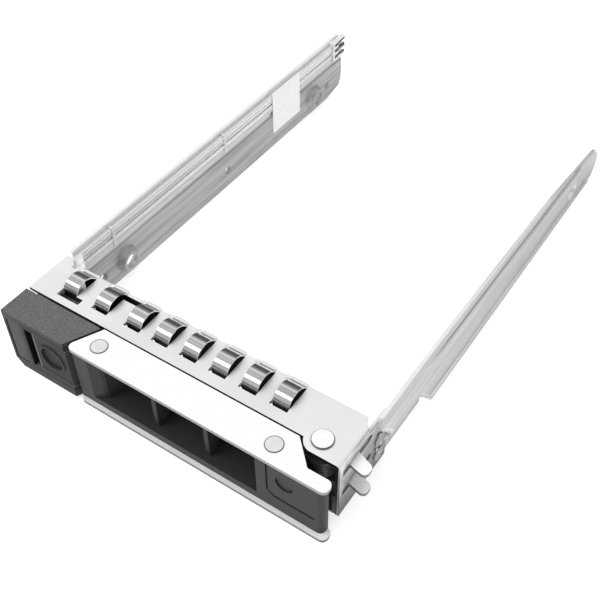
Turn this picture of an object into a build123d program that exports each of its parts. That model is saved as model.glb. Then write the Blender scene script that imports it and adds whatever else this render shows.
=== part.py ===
from build123d import *
from math import acos, atan2, cos, pi, sin, sqrt
import os

os.makedirs("parts", exist_ok=True)

# Driving dimensions, in millimetres.
# X runs across the bay with 0 midway, Y runs back from the handle's face, Z runs up from the floor.
body_height = 16.1
sheet = 0.8
drive_width = 69.85
drive_gap = 0.275
cup_depth = 1.6
face_gap = 0.35
running_gap = 0.2

# Housing
plate_depth = 9.75
plate_overhang = 1.3
tab_reach = 1.35
tab_width = 3.1
rear_corner = 1.5
wall_setback = 2.05
wall_foot = 0.9
wall_tail = 4.5
wall_tail_drop = 1.6
base_wall_height = 8.5
base_wall_tail = 1.5
flange_gap = 0.9
bend_outer = 1.0
bend_inner = 0.2

# Pivot, cam lever and its tongues
pivot_inset = 5.6
pivot_setback = 1.2
notch_radius = 3.4
notch_clearance = 0.35
shaft_radius = 1.5
bush_radius = 2.0
pin_gap = 0.05
rivet_head_radius = 2.1
rivet_head_height = 0.4
arm_drop = 2.7
arm_pitch = 5.8
arm_hub_radius = 3.2
lever_web_width = 6.0
lever_web_inset = 3.7
tongue_reach = 3.7
tongue_root_front = -0.1
tongue_root_rear = 3.0
tongue_tip_front = -1.0
tongue_tip_rear = 1.6
tongue_round = 1.0
slot_height = 1.8
slot_front = 2.2
slot_rear = 7.7
slot_point = 1.0

# Handle
handle_depth = 7.45
handle_left = -21.2
end_skew = 3.5
nose_overhang = 0.7
nose_share = 0.369
nose_corner = 1.2
flange_round = 1.2
insert_setback = 0.9
insert_side_gap = 0.2
window_floor = 1.9
window_head = 1.0
window_left = -14.9
window_right = 22.4
window_lean = 2.0
rib_setback = 1.5
rib_width = 1.0
window_count = 3
web_margin = 1.0
handle_rivet_inset = 5.8
handle_rivet_setback = 3.6
handle_rivet_radius = 1.1
handle_rivet_head = 1.75
handle_rivet_dome = 0.15
lever_rivet_radius = 0.8
lever_rivet_head = 1.3
lever_rivet_thickness = 0.4
lever_rivet_pitch = 2.9
groove_depth = 0.3
groove_width = 0.4
dial_radius = 1.9

# Bezel, button and latch
bezel_overhang = 1.4
bezel_front = 0.1
bezel_rear_gap = 0.25
bezel_foot = 0.3
bezel_gap = 0.6
bezel_wall = 1.2
bezel_chamfer = 1.8
bay_floor = 2.7
bay_head = 2.2
bay_left = 5.6
button_left_gap = 1.6
button_top_gap = 0.4
button_foot_gap = 0.7
button_gap = 0.2
button_setback = 0.25
button_travel = 1.2
button_lug = 1.1
button_lug_inset = 0.7
button_lug_width = 6.8
ring_radius = 3.4
ring_width = 0.6
lug_depth = 4.8
lug_head = 2.5
latch_floor = 6.0
latch_height = 5.0
latch_gap = 0.25
latch_wall = 0.4
nose_thickness = 1.8
latch_depth = 4.2
latch_bite = 0.8
latch_shoulder = 3.4
latch_left = 7.6
ramp_start = 2.4
ramp_run = 3.0
ramp_gap = 0.15
wedge_tip = 0.8
window_strip_width = 3.6
window_strip_thickness = 0.8
strip_inset = 2.1
spring_radius = 1.0
spring_wire = 0.35
spring_turns = 5
spring_bore = 2.0
spring_gap = 0.15

# Rails
left_rail_length = 116.4
ledge_drop = 7.1
ledge_step = 0.3
ledge_offset = 1.2
ledge_start = 12.2
rail_corner = 7.5
rail_corner_height = 3.4
right_rail_length = 109.3
right_knee_height = 13.2
right_knee = 32.5
right_tip_height = 9.2
right_tip = 4.1
right_end_height = 5.2
right_front_foot = 7.2
inset_step = 38.8
step_run = 5.4
step_drop = 0.9
joggle_lead = 1.4
joggle_foot = 2.4
outer_start = 10.7
front_slant = 4.1
inner_tab_rise = 4.0
bead_edge = 0.8
bead_depth = 0.5
bead_drop = 2.9
bead_slope = 0.034
bead_stop = 13.0
bead_waist = 30.0
bead_tail = 24.5
bead_low_front = 10.2
bead_low_waist = 8.6
bead_low_tail = 7.7
lip_depth = 0.4
lip_height = 1.3
lip_stop = 4.0
lip_side = 0.75
lip_rise = 0.65
drive_hole_front = 33.5
drive_hole_pitch = 76.6
drive_hole_height = 4.4
drive_hole_radius = 1.75
cup_radius = 3.2
cup_nose_radius = 2.5
dimple_radius = 1.1
dimple_hole = 0.5
dimple_pitch = 45.55
dimple_front = 25.9
rail_rivet_radius = 1.0
rail_rivet_head = 1.5
rail_rivet_dome = 0.3
left_rivet_inset = 2.6
left_rivet_pitch = 5.0
right_rivet_inset = 1.6

# Grounding fingers
finger_first = 8.05
finger_wide_pitch = 8.3
finger_pitch = 6.86
finger_count = 8
wide_pitches = 2
finger_width = 3.5
finger_slot = 3.9
finger_front = 2.55
finger_rear = 8.9
strip_thickness = 0.25
finger_lap = 0.2
finger_shoulder = (1.1, 1.25)
finger_crest = (2.5, 1.8)
finger_brow = (4.3, 1.35)
finger_knee = (5.35, 0.4)
finger_toe = (5.4, -1.7)
finger_bends = [0.15, 0.15, 0.5, 1.2, 1.6, 1.4, 0.7]
clip_gap = 0.05
strip_margin = 0.6
first_window_reach = 1.75
first_window_lead = 0.95
first_window_step = 0.55
long_window_depth = 1.2
long_window_lap = 0.5

# Light guides and label
guide_width = 1.1
guide_height = 1.9
guide_head = 0.3
guide_pitch = 2.5
guide_end_setback = 4.8
guide_front = 1.6
guide_channel = 2.8
guide_wall = 2.0
guide_turn_start = 4.0
guide_turn_inner = 2.6
guide_turn_outer = 3.3
guide_turn_lead = 1.3
tie_width = 0.9
tie_thickness = 0.25
tie_margin = 0.3
first_tie = 9.0
tie_pitch = 40.0
prong_length = 6.0
prong_width = 1.1
holder_depth = 2.5
holder_margin = 0.5
prong_margin = 0.2
label_gap = 3.6
label_length = 12.3
label_floor = 3.8
label_head = 0.3
label_thickness = 0.1

# Handle spring
coil_wire = 0.5
coil_turns = 5
coil_gap = 0.15
coil_steps = 12
leg_length = 6.0
wall_leg_reach = 4.0

# Derived places
seat_half = drive_width / 2 + drive_gap
inner_right = seat_half + cup_depth
inner_left = -inner_right
outer_right = inner_right + sheet
outer_left = inner_left - sheet
plate_front = handle_depth + face_gap
plate_rear = plate_front + plate_depth
plate_floor = body_height - sheet
plate_left = inner_left - plate_overhang
wall_front = plate_front - wall_setback
wall_inner = inner_right - sheet
wall_rear = plate_rear + wall_tail
pivot_x = inner_right - pivot_inset
pivot_y = plate_front + pivot_setback
web_front = handle_depth - sheet
nose_rear = nose_share * handle_depth
nose_tip = inner_right + nose_overhang
bezel_rear = handle_depth - bezel_rear_gap
bezel_depth = bezel_rear - bezel_front
slant = end_skew / bezel_depth
upper_arm = body_height - arm_drop - sheet
lower_arm = upper_arm - arm_pitch
mid_arm = (upper_arm + lower_arm + sheet) / 2
lever_web_right = pivot_x - lever_web_inset
lever_web_left = lever_web_right - lever_web_width
bezel_left = inner_left - bezel_overhang
bezel_right = handle_left - bezel_gap
web_left = handle_left + slant * web_front
chamfer_sum = pivot_x + pivot_y - (notch_radius + notch_clearance) * sqrt(2)
web_right = chamfer_sum - handle_depth
bay_x = bezel_left + bay_left
latch_x = bezel_left + latch_left
latch_front = web_front - latch_gap - nose_thickness
left_flat_height = body_height - ledge_drop
strip_x = bezel_left + bezel_wall / 2
left_rivets = [
    (plate_front + left_rivet_inset, base_wall_height / 2),
    (plate_front + left_rivet_inset + left_rivet_pitch, base_wall_height / 2),
]
right_rivets = [
    (plate_rear + right_rivet_inset, drive_hole_height),
    (plate_rear + right_rivet_inset, right_front_foot + right_rivet_inset),
]


def left_end(y):
    """Give the handle's slanted left end at one depth."""
    return handle_left + slant * y


def slab(outline, floor, thickness, mode=Mode.ADD):
    """Extrude a flat outline of (across, depth) points upwards."""
    with BuildSketch(Plane.XY.offset(floor)) as profile:
        with BuildLine():
            Polyline(*outline, close=True)
        make_face()
    extrude(profile.sketch, amount=thickness, mode=mode)


def side_slab(outline, start, thickness, mode=Mode.ADD, taper=0.0):
    """Extrude an outline of (depth, height) points towards +X."""
    with BuildSketch(Plane.YZ.offset(start)) as profile:
        with BuildLine():
            Polyline(*outline, close=True)
        make_face()
    extrude(profile.sketch, amount=thickness, mode=mode, taper=taper)


def front_slab(outline, start, thickness, mode=Mode.ADD):
    """Extrude an outline of (across, height) points towards +Y."""
    with BuildSketch(Plane.XZ.offset(-start)) as profile:
        with BuildLine():
            Polyline(*outline, close=True)
        make_face()
    extrude(profile.sketch, amount=-thickness, mode=mode)


def block(x, y, z, mode=Mode.ADD):
    """Add or cut a block between limits given as pairs."""
    with Locations(((x[0] + x[1]) / 2, (y[0] + y[1]) / 2, (z[0] + z[1]) / 2)):
        Box(x[1] - x[0], y[1] - y[0], z[1] - z[0], mode=mode)


def post(x, y, floor, top, radius, mode=Mode.ADD):
    """Add or cut an upright round post."""
    with Locations((x, y, (floor + top) / 2)):
        Cylinder(radius, top - floor, mode=mode)


def cross_pin(start, end, y, z, radius, mode=Mode.ADD):
    """Add or cut a round pin along X."""
    with Locations(Location(((start + end) / 2, y, z), (0, 90, 0))):
        Cylinder(radius, end - start, mode=mode)


def deep_pin(x, start, end, z, radius, mode=Mode.ADD):
    """Add or cut a round pin along Y."""
    with Locations(Location((x, (start + end) / 2, z), (90, 0, 0))):
        Cylinder(radius, end - start, mode=mode)


def notch_points():
    """Give where the notch arc leaves the plate's front, its middle, and where it meets the short front."""
    rise = pivot_y - plate_front
    fall = pivot_y - wall_front
    first = (pivot_x - sqrt(notch_radius**2 - rise**2), plate_front)
    last = (pivot_x - sqrt(notch_radius**2 - fall**2), wall_front)
    middle_x = (first[0] + last[0]) / 2 - pivot_x
    middle_y = (first[1] + last[1]) / 2 - pivot_y
    reach = notch_radius / sqrt(middle_x**2 + middle_y**2)
    return first, (pivot_x + middle_x * reach, pivot_y + middle_y * reach), last


def plate_sheet(left, right, floor):
    """Add a plate whose front edge follows the notch round the pivot."""
    first, middle, last = notch_points()
    with BuildSketch(Plane.XY.offset(floor)) as profile:
        with BuildLine():
            Polyline((left, plate_rear), (left, plate_front), first)
            ThreePointArc(first, middle, last)
            Polyline(last, (right, wall_front), (right, plate_rear), (left, plate_rear))
        make_face()
    extrude(profile.sketch, amount=sheet)


def folded_wall(outer, side, top, foot, front, rear, lap):
    """Add a wall folded from a plate: side is +1 with the wall at the right, -1 at the left."""
    high = max(top, foot)
    low = min(top, foot)
    upward = top == low
    plate_z = low if upward else high
    toward = sheet if upward else -sheet
    inside = outer - side * sheet
    with BuildSketch(Plane.XZ.offset(-front)) as profile:
        with BuildLine():
            Polyline(
                (outer - side * lap, plate_z),
                (outer, plate_z),
                (outer, foot),
                (inside, foot),
                (inside, plate_z + toward),
                (outer - side * lap, plate_z + toward),
                close=True,
            )
        make_face()
        fillet(profile.vertices().sort_by_distance((outer, plate_z, 0))[0], bend_outer)
        fillet(profile.vertices().sort_by_distance((inside, plate_z + toward, 0))[0], bend_inner)
    extrude(profile.sketch, amount=-(rear - front))


def finger_centres():
    """Give the middle of each finger across the bay."""
    places = []
    x = plate_left + finger_first
    for number in range(finger_count):
        places.append(x)
        x += finger_wide_pitch if number < wide_pitches else finger_pitch
    return places


def wound(path, wire):
    """Sweep a round wire along a curve."""
    with BuildSketch(Plane(origin=path @ 0, z_dir=path % 0)) as section:
        Circle(wire / 2)
    sweep(section.sketch, path=path, is_frenet=True)


# Housing top: plate, right wall and left tab from one sheet
with BuildPart() as housing_top:
    plate_sheet(plate_left, wall_inner - bend_outer, plate_floor)
    folded_wall(
        inner_right, 1, body_height, wall_foot, wall_front, plate_rear, sheet + 2 * bend_outer
    )
    slab(
        [
            (plate_left, plate_rear - sheet),
            (plate_left, plate_rear + tab_reach),
            (plate_left + tab_width * 0.6, plate_rear + tab_reach - 0.3),
            (plate_left + tab_width, plate_rear - 0.2),
            (plate_left + tab_width, plate_rear - sheet),
        ],
        plate_floor,
        sheet,
    )
    block(
        (plate_left + tab_width, plate_left + tab_width + 1.2),
        (plate_rear - 0.9, plate_rear + 1),
        (plate_floor - 1, body_height + 1),
        mode=Mode.SUBTRACT,
    )
    block(
        (wall_inner, inner_right),
        (plate_rear - sheet, wall_rear),
        (wall_foot, body_height - wall_tail_drop),
    )
    slab(
        [
            (inner_right - rear_corner, plate_rear + 1),
            (inner_right - rear_corner, plate_rear),
            (wall_inner - 0.1, plate_rear - rear_corner),
            (inner_right + 1, plate_rear - rear_corner - 1),
            (inner_right + 1, plate_rear + 1),
        ],
        body_height - wall_tail_drop,
        wall_tail_drop + 1,
        mode=Mode.SUBTRACT,
    )
    centres = finger_centres()
    for centre in centres:
        block(
            (centre - finger_slot / 2, centre + finger_slot / 2),
            (plate_front + finger_front, plate_front + finger_rear),
            (plate_floor - 1, body_height + 1),
            mode=Mode.SUBTRACT,
        )
    block(
        (centres[0] - finger_slot / 2, centres[0] + finger_slot / 2 + first_window_reach),
        (
            plate_front + finger_front - first_window_lead,
            plate_front + finger_front + first_window_step,
        ),
        (plate_floor - 1, body_height + 1),
        mode=Mode.SUBTRACT,
    )
    block(
        (
            centres[1] + finger_slot / 2 - long_window_lap,
            centres[2] - finger_slot / 2 + long_window_lap,
        ),
        (plate_front + finger_rear - long_window_depth, plate_front + finger_rear),
        (plate_floor - 1, body_height + 1),
        mode=Mode.SUBTRACT,
    )
    for arm in (lower_arm, upper_arm):
        middle = arm + sheet / 2
        low = middle - slot_height / 2
        high = middle + slot_height / 2
        side_slab(
            [
                (pivot_y - slot_front, low),
                (pivot_y + slot_rear - slot_point, low),
                (pivot_y + slot_rear, middle),
                (pivot_y + slot_rear - slot_point, high),
                (pivot_y - slot_front, high),
            ],
            wall_inner - 1,
            sheet + 2,
            mode=Mode.SUBTRACT,
        )
    post(pivot_x, pivot_y, plate_floor - 1, body_height + 1, shaft_radius, mode=Mode.SUBTRACT)
    for y, z in right_rivets:
        cross_pin(wall_inner - 1, inner_right + 1, y, z, rail_rivet_radius, mode=Mode.SUBTRACT)
housing_top.part.label = "housing_top"
export_step(housing_top.part, "parts/housing_top.step")

# Housing base: bottom plate, left wall and right flange from one sheet
with BuildPart() as housing_base:
    plate_sheet(inner_left + 2, wall_inner - 2, 0)
    folded_wall(
        inner_left, -1, 0, base_wall_height, plate_front, plate_rear + base_wall_tail,
        sheet + 2 * bend_outer,
    )
    folded_wall(
        wall_inner, 1, 0, lower_arm - flange_gap, wall_front + face_gap, plate_rear - 2 * sheet,
        sheet + 2 * bend_outer,
    )
    post(pivot_x, pivot_y, -1, sheet + 1, shaft_radius, mode=Mode.SUBTRACT)
    for y, z in left_rivets:
        cross_pin(inner_left - 1, inner_left + 2, y, z, rail_rivet_radius, mode=Mode.SUBTRACT)
housing_base.part.label = "housing_base"
export_step(housing_base.part, "parts/housing_base.step")


def drive_cup(side, y):
    """Press one screw seat inwards; side is -1 for the left rail and +1 for the right."""
    turn = -90 * side
    middle = side * (inner_right + seat_half) / 2
    with Locations(Location((middle, y, drive_hole_height), (0, turn, 0))):
        Cone(cup_radius, cup_nose_radius, cup_depth)
    recess = side * (outer_right + seat_half + sheet) / 2
    with Locations(Location((recess, y, drive_hole_height), (0, turn, 0))):
        Cone(cup_radius - sheet / 2, cup_nose_radius - sheet / 2, cup_depth, mode=Mode.SUBTRACT)
    cross_pin(
        min(side * seat_half, side * outer_right) - 1,
        max(side * seat_half, side * outer_right) + 1,
        y,
        drive_hole_height,
        drive_hole_radius,
        mode=Mode.SUBTRACT,
    )


# Left rail: lower flat with the screw seats, ledge outwards for the light guides
left_rail_end = plate_front + left_rail_length
with BuildPart() as left_rail:
    block((outer_left, inner_left), (plate_front, left_rail_end), (0, left_flat_height))
    front_slab(
        [
            (outer_left, left_flat_height - 1),
            (outer_left, left_flat_height + ledge_step),
            (outer_left - ledge_offset, left_flat_height + ledge_step + ledge_offset),
            (outer_left - ledge_offset, body_height),
            (inner_left - ledge_offset, body_height),
            (inner_left - ledge_offset, left_flat_height + ledge_offset),
            (inner_left, left_flat_height),
            (inner_left, left_flat_height - 1),
        ],
        plate_front + ledge_start,
        left_rail_length - ledge_start,
    )
    side_slab(
        [
            (left_rail_end - rail_corner, -1),
            (left_rail_end - rail_corner, 0),
            (left_rail_end - 1.2, 1.2),
            (left_rail_end, rail_corner_height),
            (left_rail_end + 1, rail_corner_height),
            (left_rail_end + 1, -1),
        ],
        outer_left - ledge_offset - 1,
        ledge_offset + sheet + 2,
        mode=Mode.SUBTRACT,
    )
    drive_cup(-1, drive_hole_front)
    drive_cup(-1, drive_hole_front + drive_hole_pitch)
    for number in range(3):
        y = dimple_front + number * dimple_pitch
        with Locations(Location((inner_left - sheet / 2, y, drive_hole_height), (0, 90, 0))):
            Cone(dimple_hole, dimple_radius, sheet, mode=Mode.SUBTRACT)
    for y, z in left_rivets:
        cross_pin(outer_left - 1, inner_left + 1, y, z, rail_rivet_radius, mode=Mode.SUBTRACT)
left_rail.part.label = "left_rail"
export_step(left_rail.part, "parts/left_rail.step")

# Right rail: upper part outside the housing wall, lower front part set in against the drive
right_rail_start = plate_rear - 0.4
right_rail_end = right_rail_start + right_rail_length
outer_front = plate_front + outer_start
bead_top = body_height - bead_drop
knee_y = right_rail_end - right_knee


with BuildPart() as right_rail:
    side_slab(
        [
            (outer_front, body_height),
            (outer_front, bead_top - 0.7),
            (outer_front + front_slant, right_front_foot),
            (inset_step - step_run, right_front_foot - step_drop),
            (inset_step, 0),
            (right_rail_end - 2, 0),
            (right_rail_end, 1.5),
            (right_rail_end, right_end_height),
            (right_rail_end - right_tip, right_tip_height),
            (knee_y, right_knee_height),
            (inset_step, body_height),
        ],
        inner_right,
        sheet,
    )
    bead_end = right_rail_end - bead_stop
    bead = [
        (outer_front + 0.3, bead_top - 0.4),
        (outer_front + front_slant, right_front_foot + bead_edge),
        (inset_step - 2.5, right_front_foot + bead_edge),
        (inset_step + 1.5, bead_low_front),
        (inset_step + bead_waist, bead_low_waist),
        (right_rail_end - bead_tail, bead_low_tail),
        (bead_end, bead_low_tail + 0.8),
        (bead_end - 1.5, bead_top - bead_slope * (bead_end - inset_step)),
        (inset_step, bead_top),
    ]
    side_slab(bead, outer_right, bead_depth, taper=40)
    side_slab(bead, inner_right - 0.01, bead_depth, mode=Mode.SUBTRACT, taper=40)
    side_slab(
        [
            (inset_step, 0),
            (right_rail_end - lip_stop, 0),
            (right_rail_end - lip_stop - 1.5 * lip_height, lip_height),
            (inset_step + 0.2, lip_height),
            (inset_step - step_run + lip_side, right_front_foot - step_drop + lip_rise),
            (inset_step - step_run, right_front_foot - step_drop),
        ],
        outer_right,
        lip_depth,
        taper=30,
    )
    block(
        (seat_half, wall_inner),
        (right_rail_start, inset_step - joggle_lead),
        (0, right_front_foot - sheet),
    )
    block(
        (seat_half, wall_inner),
        (right_rail_start, wall_rear + running_gap),
        (0, right_front_foot + inner_tab_rise),
    )
    block(
        (seat_half, outer_right),
        (wall_rear + running_gap, inset_step - joggle_lead),
        (right_front_foot - sheet, right_front_foot + 0.5),
    )
    block(
        (seat_half, outer_right),
        (inset_step - joggle_lead, inset_step - joggle_lead + sheet),
        (joggle_foot, right_front_foot + 0.5),
    )
    cross_pin(
        seat_half - 1, wall_inner + 1, drive_hole_front, drive_hole_height, drive_hole_radius,
        mode=Mode.SUBTRACT,
    )
    drive_cup(1, drive_hole_front + drive_hole_pitch)
    for y, z in right_rivets:
        cross_pin(seat_half - 1, inner_right + 1, y, z, rail_rivet_radius, mode=Mode.SUBTRACT)
right_rail.part.label = "right_rail"
export_step(right_rail.part, "parts/right_rail.step")

# Rail rivets: round shanks with low heads
with BuildPart() as left_rail_rivets:
    for y, z in left_rivets:
        cross_pin(outer_left, inner_left + sheet, y, z, rail_rivet_radius)
        cross_pin(outer_left - rail_rivet_dome, outer_left, y, z, rail_rivet_head)
        cross_pin(
            inner_left + sheet, inner_left + sheet + rail_rivet_dome, y, z, rail_rivet_head
        )
left_rail_rivets.part.label = "left_rail_rivets"
export_step(left_rail_rivets.part, "parts/left_rail_rivets.step")

with BuildPart() as right_rail_rivets:
    for y, z in right_rivets:
        cross_pin(seat_half, inner_right, y, z, rail_rivet_radius)
        cross_pin(inner_right, inner_right + rail_rivet_dome, y, z, rail_rivet_head)
right_rail_rivets.part.label = "right_rail_rivets"
export_step(right_rail_rivets.part, "parts/right_rail_rivets.step")

# Grounding fingers: a flat strip under the plate's rear edge that folds over it at each arch
window_rear = plate_front + finger_rear
strip_middle = plate_floor - strip_thickness / 2
with BuildPart() as emi_finger_strip:
    block(
        (
            centres[0] - finger_width / 2 - strip_margin,
            centres[-1] + finger_width / 2 + strip_margin,
        ),
        (window_rear - 0.1, plate_rear - strip_thickness),
        (plate_floor - strip_thickness, plate_floor),
    )
    fold = plate_rear + clip_gap + strip_thickness / 2
    lap_height = body_height + strip_thickness / 2
    finger_points = [
        (window_rear, strip_middle),
        (fold, strip_middle),
        (fold, lap_height),
        (window_rear + finger_lap, lap_height),
    ]
    for ahead, rise in (finger_shoulder, finger_crest, finger_brow, finger_knee, finger_toe):
        finger_points.append((window_rear - ahead, body_height + rise))
    for centre in centres:
        with BuildSketch(Plane.YZ.offset(centre - finger_width / 2)) as section:
            with BuildLine():
                FilletPolyline(*finger_points, radius=finger_bends)
                offset(amount=strip_thickness / 2)
            make_face()
        extrude(section.sketch, amount=finger_width)
emi_finger_strip.part.label = "emi_finger_strip"
export_step(emi_finger_strip.part, "parts/emi_finger_strip.step")

# Light guides: flat rods on the left rail's ledge that turn in towards the bezel
guide_outer = inner_left - ledge_offset
guide_inner = guide_outer + guide_width
channel_left = bezel_left + guide_wall
channel_right = channel_left + guide_channel
guide_turn = plate_rear + guide_turn_start
guide_end = left_rail_end - guide_end_setback
guide_top = plate_floor - guide_head
upper_guide = guide_top - guide_height
lower_guide = upper_guide - guide_pitch
guide_outline = [
    (guide_outer, guide_end),
    (guide_inner, guide_end),
    (guide_inner, guide_turn),
    (channel_right, guide_turn - guide_turn_inner),
    (channel_right, guide_front),
    (channel_left, guide_front),
    (channel_left, guide_turn - guide_turn_outer),
    (guide_outer, guide_turn - guide_turn_lead),
]
with BuildPart() as light_guide_upper:
    slab(guide_outline, upper_guide, guide_height)
light_guide_upper.part.label = "light_guide_upper"
export_step(light_guide_upper.part, "parts/light_guide_upper.step")

with BuildPart() as light_guide_lower:
    slab(guide_outline, lower_guide, guide_height)
    block(
        (channel_left, channel_right),
        (guide_front, guide_front + 2),
        (drive_hole_height, lower_guide + guide_height),
    )
light_guide_lower.part.label = "light_guide_lower"
export_step(light_guide_lower.part, "parts/light_guide_lower.step")

with BuildPart() as light_guide_clips:
    for place in (guide_turn + first_tie, guide_turn + first_tie + tie_pitch):
        along = (place, place + tie_width)
        across = (guide_outer, guide_inner + tie_thickness)
        block(
            (guide_inner, guide_inner + tie_thickness),
            along,
            (lower_guide - tie_margin, guide_top + tie_margin),
        )
        block(across, along, (guide_top, guide_top + tie_margin))
        block(across, along, (lower_guide - tie_margin, lower_guide))
light_guide_clips.part.label = "light_guide_clips"
export_step(light_guide_clips.part, "parts/light_guide_clips.step")

holder_low = lower_guide - tie_margin
holder_high = body_height - tie_margin
with BuildPart() as light_guide_holder:
    block(
        (guide_outer, guide_inner + holder_margin),
        (guide_end, guide_end + holder_depth),
        (holder_low, holder_high),
    )
    prong_step = (holder_high - holder_low - prong_width) / 2
    for number in range(3):
        floor = holder_low + number * prong_step
        block(
            (guide_outer + prong_margin, guide_inner + holder_margin - prong_margin),
            (guide_end + holder_depth / 2, guide_end + prong_length),
            (floor, floor + prong_width),
        )
light_guide_holder.part.label = "light_guide_holder"
export_step(light_guide_holder.part, "parts/light_guide_holder.step")

# Label: a blank paper rectangle on the left rail's inner face
label_end = drive_hole_front + drive_hole_pitch - cup_radius - label_gap
with BuildPart() as rail_label:
    block(
        (inner_left, inner_left + label_thickness),
        (label_end - label_length, label_end),
        (label_floor, body_height - label_head),
    )
rail_label.part.label = "rail_label"
export_step(rail_label.part, "parts/rail_label.step")


def bezel_side(y):
    """Give the bezel's slanted right side at one depth."""
    return bezel_right + slant * y


# End bezel: moulded block with the guide bay, the button bay and the latch pocket
lug_left = channel_right + 0.3
lug_right = bezel_side(bezel_rear) - bezel_wall
lug_rear = bezel_rear + lug_depth
bay_bottom = bezel_foot + bay_floor
bay_top = body_height - bay_head
bay_rear = latch_front - running_gap - latch_wall
latch_rear = latch_front + latch_depth
nose_rear_face = latch_front + nose_thickness
pocket_low = latch_floor - running_gap
pocket_high = latch_floor + latch_height + running_gap
pocket_left = lug_left + 0.7
pocket_right = web_left - latch_shoulder + latch_bite + 0.1
ramp_x = latch_x + ramp_start
ramp_end = latch_front + ramp_run
wedge_line = ramp_x - latch_front + ramp_gap * sqrt(2)
wedge_end = ramp_end - button_travel - 2 * running_gap
wedge_right = wedge_line + wedge_end + wedge_tip
cradle_right = wedge_right + button_travel + 2 * running_gap
button_front = bezel_front + button_setback
button_rear = bay_rear - button_travel - running_gap
button_left = bay_x + button_left_gap
button_low = bay_bottom + button_foot_gap
button_high = bay_top - button_top_gap
strip_low = bezel_foot + strip_inset
strip_high = body_height - strip_inset
lug_inset = button_lug_inset - 1.5 * running_gap
with BuildPart() as end_bezel:
    slab(
        [
            (bezel_left, bezel_front),
            (bezel_side(bezel_front), bezel_front),
            (bezel_side(bezel_rear), bezel_rear),
            (bezel_left, bezel_rear),
        ],
        bezel_foot,
        body_height - bezel_foot,
    )
    block((lug_left, lug_right), (bezel_rear - 1, lug_rear), (sheet, plate_floor - lug_head + 0.8))
    block((lug_left, lug_right), (bezel_rear - 1, plate_front + 1.2), (sheet, plate_floor))
    front_slab(
        [
            (bezel_left - 1, bezel_foot - 1),
            (bezel_left - 1, bezel_foot + bezel_chamfer),
            (bezel_left, bezel_foot + bezel_chamfer),
            (bezel_left + bezel_chamfer, bezel_foot),
            (bezel_left + bezel_chamfer, bezel_foot - 1),
        ],
        bezel_front - 1,
        bezel_depth + 2,
        mode=Mode.SUBTRACT,
    )
    block(
        (bezel_left + bezel_wall, lug_left),
        (bezel_front + bezel_wall, bezel_rear + 1),
        (bezel_foot + bezel_chamfer, body_height - 1.0),
        mode=Mode.SUBTRACT,
    )
    block(
        (strip_x, strip_x + window_strip_width),
        (bezel_front - 1, bezel_front + window_strip_thickness),
        (strip_low, strip_high),
        mode=Mode.SUBTRACT,
    )
    block(
        (strip_x + 0.8, strip_x + window_strip_width - 0.8),
        (bezel_front, bezel_front + bezel_wall + 0.5),
        (strip_low + 1.5, strip_high - 1.5),
        mode=Mode.SUBTRACT,
    )
    block(
        (bay_x, bezel_side(bezel_rear) + 1),
        (bezel_front - 1, bay_rear),
        (bay_bottom, bay_top),
        mode=Mode.SUBTRACT,
    )
    block(
        (button_left + lug_inset, button_left + lug_inset + button_lug_width + 3 * running_gap),
        (bezel_front + 1.5, bay_rear),
        (button_low - button_lug - running_gap, button_high + button_lug + running_gap),
        mode=Mode.SUBTRACT,
    )
    block(
        (pocket_left, pocket_right),
        (latch_front - running_gap, latch_rear + running_gap),
        (pocket_low, pocket_high),
        mode=Mode.SUBTRACT,
    )
    block(
        (pocket_right - 1, bezel_side(bezel_rear) + 1),
        (latch_front - running_gap, nose_rear_face + running_gap),
        (pocket_low, pocket_high),
        mode=Mode.SUBTRACT,
    )
    block(
        (wedge_line + bay_rear - button_travel - 2 * running_gap, cradle_right),
        (bay_rear - 0.1, latch_front),
        (pocket_low, pocket_high),
        mode=Mode.SUBTRACT,
    )
end_bezel.part.label = "end_bezel"
export_step(end_bezel.part, "parts/end_bezel.step")

# Indicator window: smoked strip let into the bezel's front
with BuildPart() as indicator_window:
    block(
        (strip_x, strip_x + window_strip_width),
        (bezel_front + 0.15, bezel_front + window_strip_thickness),
        (strip_low, strip_high),
    )
indicator_window.part.label = "indicator_window"
export_step(indicator_window.part, "parts/indicator_window.step")

# Release button: slanted right side, raised ring, lugs above and below, wedge behind
ring_x = (button_left + bezel_side(button_front) - button_gap) / 2
ring_z = (button_low + button_high) / 2
with BuildPart() as release_button:
    slab(
        [
            (button_left, button_front),
            (bezel_side(button_front) - button_gap, button_front),
            (bezel_side(button_rear) - button_gap, button_rear),
            (button_left, button_rear),
        ],
        button_low,
        button_high - button_low,
    )
    block(
        (button_left + button_lug_inset, button_left + button_lug_inset + button_lug_width),
        (button_rear - 0.7, button_rear),
        (button_low - button_lug, button_high + button_lug),
    )
    deep_pin(ring_x, button_front - 0.2, button_front + 0.5, ring_z, ring_radius)
    deep_pin(
        ring_x,
        button_front - 1,
        button_front + 0.4,
        ring_z,
        ring_radius - ring_width,
        mode=Mode.SUBTRACT,
    )
    slab(
        [
            (wedge_line + button_rear - 0.1, button_rear - 0.1),
            (wedge_line + wedge_end, wedge_end),
            (wedge_right, wedge_end),
            (wedge_right, button_rear - 0.1),
        ],
        latch_floor + 0.8,
        latch_height - 1.6,
    )
release_button.part.label = "release_button"
export_step(release_button.part, "parts/release_button.step")

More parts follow.
